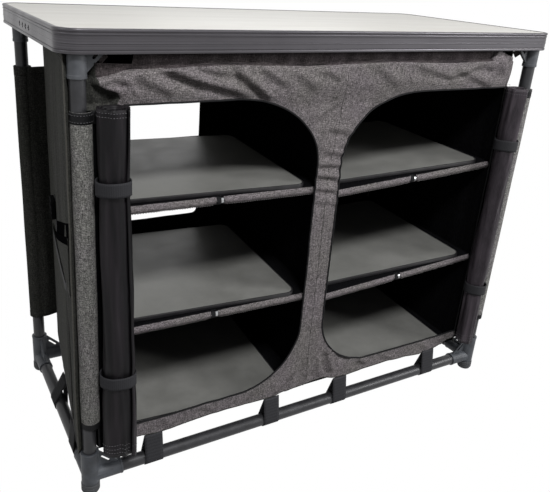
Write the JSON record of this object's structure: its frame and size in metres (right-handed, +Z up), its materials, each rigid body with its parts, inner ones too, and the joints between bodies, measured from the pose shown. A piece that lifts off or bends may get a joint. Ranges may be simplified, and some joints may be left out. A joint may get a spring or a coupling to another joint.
{
  "type": "camping cupboard",
  "caption": "Collapsible camping cupboard: tube frame, rimmed worktop, fabric body with shelves, rolled-up doors and a side pocket.",
  "frame": {"origin": "on the floor, under the middle of the whole cupboard's box with its rolled-up doors; the worktop's middle lies 15.15 mm behind it", "axes": "+X to the right along the worktop as seen from the front, +Y from the doors to the back, +Z up"},
  "size_m": [1, 0.4803, 0.806],
  "materials": {
    "worktop_laminate": "pale grey melamine laminate on board, satin",
    "anodised_rim": "dark grey anodised extrusion, satin",
    "coated_tube": "dark grey powder coat, satin",
    "moulded_plastic": "slate grey moulded plastic, fine texture",
    "foot_plastic": "dark grey moulded plastic with ribs",
    "grey_board": "grey laminate on thin board with a dark edge band",
    "melange_cloth": "grey melange coated polyester",
    "lining_cloth": "black coated polyester",
    "door_cloth": "black polyester, rolled up",
    "webbing": "dark grey ribbed webbing"
  },
  "bodies": {
    "frame": {"upper_fitting_front_left": "moulded_plastic", "lower_fitting_front_left": "moulded_plastic", "leg_front_left": "coated_tube", "leg_sleeve_front_left": "melange_cloth", "upper_fitting_front_right": "moulded_plastic", "lower_fitting_front_right": "moulded_plastic", "leg_front_right": "coated_tube", "leg_sleeve_front_right": "melange_cloth", "upper_fitting_rear_right": "moulded_plastic", "lower_fitting_rear_right": "moulded_plastic", "leg_rear_right": "coated_tube", "leg_sleeve_rear_right": "melange_cloth", "upper_fitting_rear_left": "moulded_plastic", "lower_fitting_rear_left": "moulded_plastic", "leg_rear_left": "coated_tube", "leg_sleeve_rear_left": "melange_cloth", "bottom_rail_front": "coated_tube", "bottom_rail_rear": "coated_tube", "bottom_rail_left": "coated_tube", "bottom_rail_right": "coated_tube", "front_panel": "melange_cloth", "side_wall_left": "melange_cloth", "side_wall_right": "melange_cloth", "back_panel": "melange_cloth", "side_pocket": "melange_cloth", "divider_wall": "lining_cloth", "rail_loops_front": "webbing", "rail_loops_rear": "webbing", "rail_loops_left": "webbing", "rail_loops_right": "webbing", "door_roll_left": "door_cloth", "door_strap_left_upper": "webbing", "door_strap_left_lower": "webbing", "shelf_cloth_left_floor": "lining_cloth", "shelf_cloth_left_middle": "lining_cloth", "shelf_tube_left_middle": "coated_tube", "shelf_cloth_left_top": "lining_cloth", "shelf_tube_left_top": "coated_tube", "door_roll_right": "door_cloth", "door_strap_right_upper": "webbing", "door_strap_right_lower": "webbing", "shelf_cloth_right_floor": "lining_cloth", "shelf_cloth_right_middle": "lining_cloth", "shelf_tube_right_middle": "coated_tube", "shelf_cloth_right_top": "lining_cloth", "shelf_tube_right_top": "coated_tube", "side_strap_buckle": "webbing"},
    "worktop": {"tabletop_board": "worktop_laminate", "tabletop_rim": "anodised_rim"},
    "board_left_floor": {"shelf_board_left_floor": "grey_board"},
    "board_left_middle": {"shelf_board_left_middle": "grey_board"},
    "board_left_top": {"shelf_board_left_top": "grey_board"},
    "board_right_floor": {"shelf_board_right_floor": "grey_board"},
    "board_right_middle": {"shelf_board_right_middle": "grey_board"},
    "board_right_top": {"shelf_board_right_top": "grey_board"},
    "foot_front_left": {"foot_front_left": "foot_plastic"},
    "foot_front_right": {"foot_front_right": "foot_plastic"},
    "foot_rear_right": {"foot_rear_right": "foot_plastic"},
    "foot_rear_left": {"foot_rear_left": "foot_plastic"}
  },
  "joints": [
    {"name": "worktop_lift", "type": "slide", "parent": "frame", "child": "worktop", "axis": [0, 0, 1], "range_m": [0, 0.03]},
    {"name": "board_lift_left_floor", "type": "slide", "parent": "frame", "child": "board_left_floor", "axis": [0, 0, 1], "range_m": [0, 0.15]},
    {"name": "board_lift_left_middle", "type": "slide", "parent": "frame", "child": "board_left_middle", "axis": [0, 0, 1], "range_m": [0, 0.15]},
    {"name": "board_lift_left_top", "type": "slide", "parent": "frame", "child": "board_left_top", "axis": [0, 0, 1], "range_m": [0, 0.15]},
    {"name": "board_lift_right_floor", "type": "slide", "parent": "frame", "child": "board_right_floor", "axis": [0, 0, 1], "range_m": [0, 0.15]},
    {"name": "board_lift_right_middle", "type": "slide", "parent": "frame", "child": "board_right_middle", "axis": [0, 0, 1], "range_m": [0, 0.15]},
    {"name": "board_lift_right_top", "type": "slide", "parent": "frame", "child": "board_right_top", "axis": [0, 0, 1], "range_m": [0, 0.15]},
    {"name": "foot_screw_front_left", "type": "slide", "parent": "frame", "child": "foot_front_left", "axis": [0, 0, -1], "range_m": [0, 0.012]},
    {"name": "foot_screw_front_right", "type": "slide", "parent": "frame", "child": "foot_front_right", "axis": [0, 0, -1], "range_m": [0, 0.012]},
    {"name": "foot_screw_rear_right", "type": "slide", "parent": "frame", "child": "foot_rear_right", "axis": [0, 0, -1], "range_m": [0, 0.012]},
    {"name": "foot_screw_rear_left", "type": "slide", "parent": "frame", "child": "foot_rear_left", "axis": [0, 0, -1], "range_m": [0, 0.012]}
  ]
}
